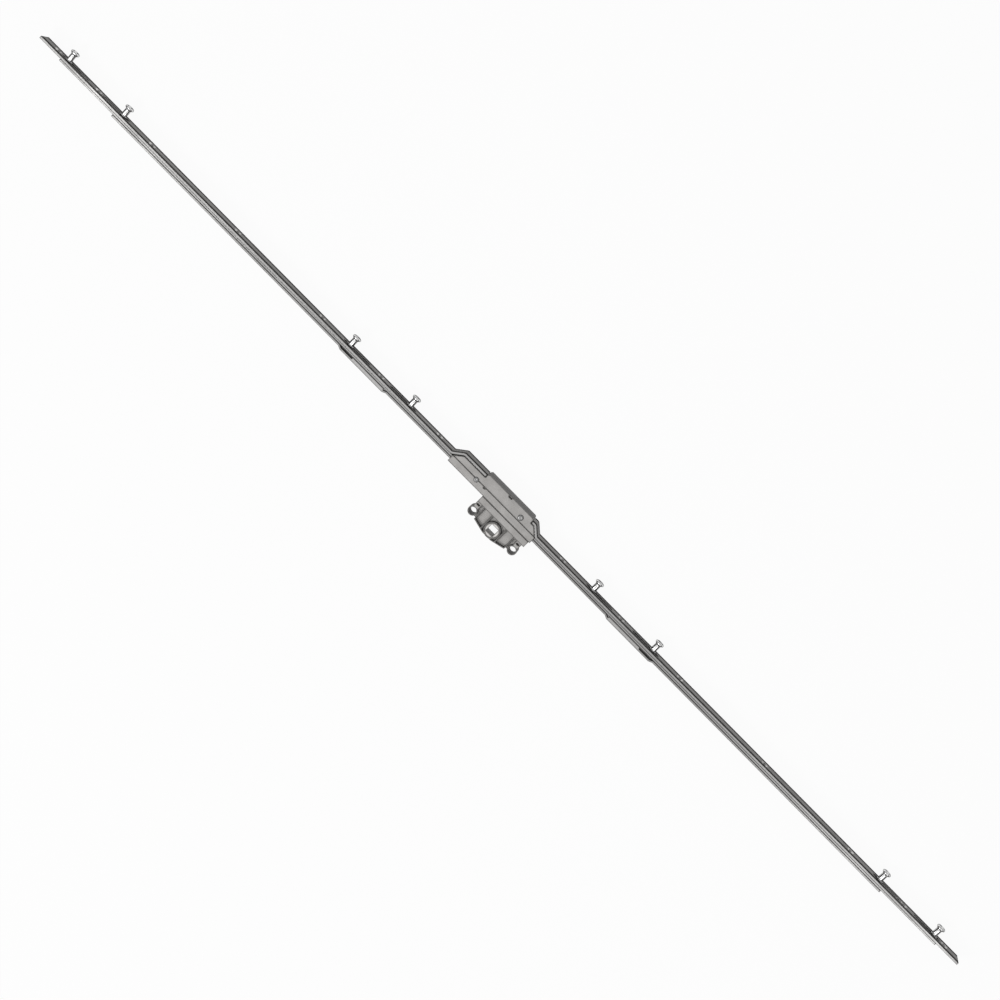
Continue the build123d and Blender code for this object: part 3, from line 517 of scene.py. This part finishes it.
def make_floor():
    """White paper that the object lies on, which keeps its shadow."""
    bm = bmesh.new()
    corners = [(-1, -1), (1, -1), (1, 1), (-1, 1)]
    bm.faces.new([bm.verts.new((x * FLOOR_REACH, y * FLOOR_REACH, FLOOR_Z)) for x, y in corners])
    mesh = bpy.data.meshes.new("floor")
    bm.to_mesh(mesh)
    bm.free()
    n = Nodes("floor_paper")
    n.shader.inputs["Base Color"].default_value = grey(0.9)
    n.shader.inputs["Roughness"].default_value = 0.8
    glow = n.add("ShaderNodeEmission", Color=grey(1), Strength=1.0)
    share = n.add("ShaderNodeMath", operation="MULTIPLY")
    share.inputs[1].default_value = FLOOR_GLOW
    n.link(seen(n.tree), share.inputs[0])
    mix = n.add("ShaderNodeMixShader")
    n.link(share.outputs[0], mix.inputs[0])
    n.link(n.shader.outputs[0], mix.inputs[1])
    n.link(glow.outputs[0], mix.inputs[2])
    n.link(mix.outputs[0], n.out.inputs["Surface"])
    mesh.materials.append(n.material)
    floor = bpy.data.objects.new("floor", mesh)
    bpy.context.collection.objects.link(floor)
    floor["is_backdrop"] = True


def make_light(name, place, target, width, power):
    """Square soft lamp, aimed at target."""
    data = bpy.data.lights.new(name, "AREA")
    data.shape = "SQUARE"
    data.size = width
    data.energy = power
    lamp = bpy.data.objects.new(name, data)
    bpy.context.collection.objects.link(lamp)
    lamp.location = place
    aim = Vector(target) - Vector(place)
    lamp.rotation_mode = "QUATERNION"
    lamp.rotation_quaternion = aim.to_track_quat("-Z", "Y")


def make_world():
    """Even light; gloss sees a white room with a dark horizon, and the camera sees white."""
    world = bpy.data.worlds.new("studio")
    bpy.context.scene.world = world
    world.use_nodes = True
    tree = world.node_tree
    ground = tree.nodes["Background"]
    ground.inputs["Color"].default_value = grey(1)
    ground.inputs["Strength"].default_value = WORLD_LIGHT
    white = tree.nodes.new("ShaderNodeBackground")
    white.inputs["Strength"].default_value = 1.0
    mix = tree.nodes.new("ShaderNodeMixShader")
    tree.links.new(seen(tree), mix.inputs[0])
    tree.links.new(ground.outputs[0], mix.inputs[1])
    tree.links.new(white.outputs[0], mix.inputs[2])
    where = tree.nodes.new("ShaderNodeTexCoord")
    parts = tree.nodes.new("ShaderNodeSeparateXYZ")
    walls = tree.nodes.new("ShaderNodeValToRGB")
    walls.color_ramp.elements[0].position = 0.45
    walls.color_ramp.elements[0].color = grey(HORIZON_GREY)
    walls.color_ramp.elements[1].position = 0.7
    walls.color_ramp.elements[1].color = grey(1)
    tree.links.new(where.outputs["Generated"], parts.inputs[0])
    tree.links.new(parts.outputs["Z"], walls.inputs["Fac"])
    direct = tree.nodes.new("ShaderNodeLightPath")
    shade = tree.nodes.new("ShaderNodeMix")
    shade.data_type = "RGBA"
    shade.inputs[7].default_value = grey(1)
    tree.links.new(direct.outputs["Is Camera Ray"], shade.inputs[0])
    tree.links.new(walls.outputs["Color"], shade.inputs[6])
    tree.links.new(shade.outputs[2], white.inputs["Color"])
    tree.links.new(mix.outputs[0], tree.nodes["World Output"].inputs["Surface"])


# The scene

make_camera()

STRIP = strip_material("plated_strip", reach_z("faceplate"), face=0.3, edge=0.37, rough=0.34, tint=0.15)
RAIL = strip_material("rail_steel", reach_z("rail_left_upper"), face=0.3, edge=0.4, rough=0.3, tint=0.25)
CAST = casting_material("zinc_casting", tone=0.39, rough=0.5)
# Painted light: a lighter copy of the casting, with less painted shade, for the far half of the housing
FAR_PAINTED_LIGHTER = casting_material("zinc_far_painted_lighter", tone=0.44, rough=0.5, shade=0.05)
HUB = casting_material("zinc_hub", tone=0.66, rough=0.4)
RIVET = bright_material("rivet_steel", tone=0.24, rough=0.38, tint=0.2)
BRIGHT = bright_material("cam_steel", tone=0.75, rough=0.12, tint=0.05)

dress("faceplate", STRIP, bevel=0.25, segments=3)
for rail in ("rail_left_upper", "rail_left_lower", "rail_right_upper", "rail_right_lower"):
    dress(rail, RAIL, bevel=0.15)
dress("housing_near", CAST, bevel=0.22, segments=3)
dress("housing_far", FAR_PAINTED_LIGHTER, bevel=0.22, segments=3)
dress("spindle_hub", HUB, bevel=0.2)
dress("drive_rack", RAIL, bevel=0.08)
dress("reversing_rack", RAIL, bevel=0.08)
dress("idler_pinion", RIVET, bevel=0.05)

for side in SIDES:
    for number in CAM_NUMBERS:
        make_cam(side, number)
make_rivet("idler_axle", shank=1.25)
make_rivet("tie_rivet", shank=1.5)

make_floor()
make_world()
make_light("key", place=(-0.4, -1.0, 1.3), target=(0, 0, 0), width=0.5, power=8)
make_light("left_end", place=(-0.84, -0.28, 1.3), target=(-0.45, 0, 0), width=0.25, power=1.1)
make_light("right_end", place=(0.81, -0.28, 1.3), target=(0.42, 0, 0), width=0.25, power=1.1)
bpy.context.scene.view_settings.view_transform = "Standard"

size["visual"] = [list(corner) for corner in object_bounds()]
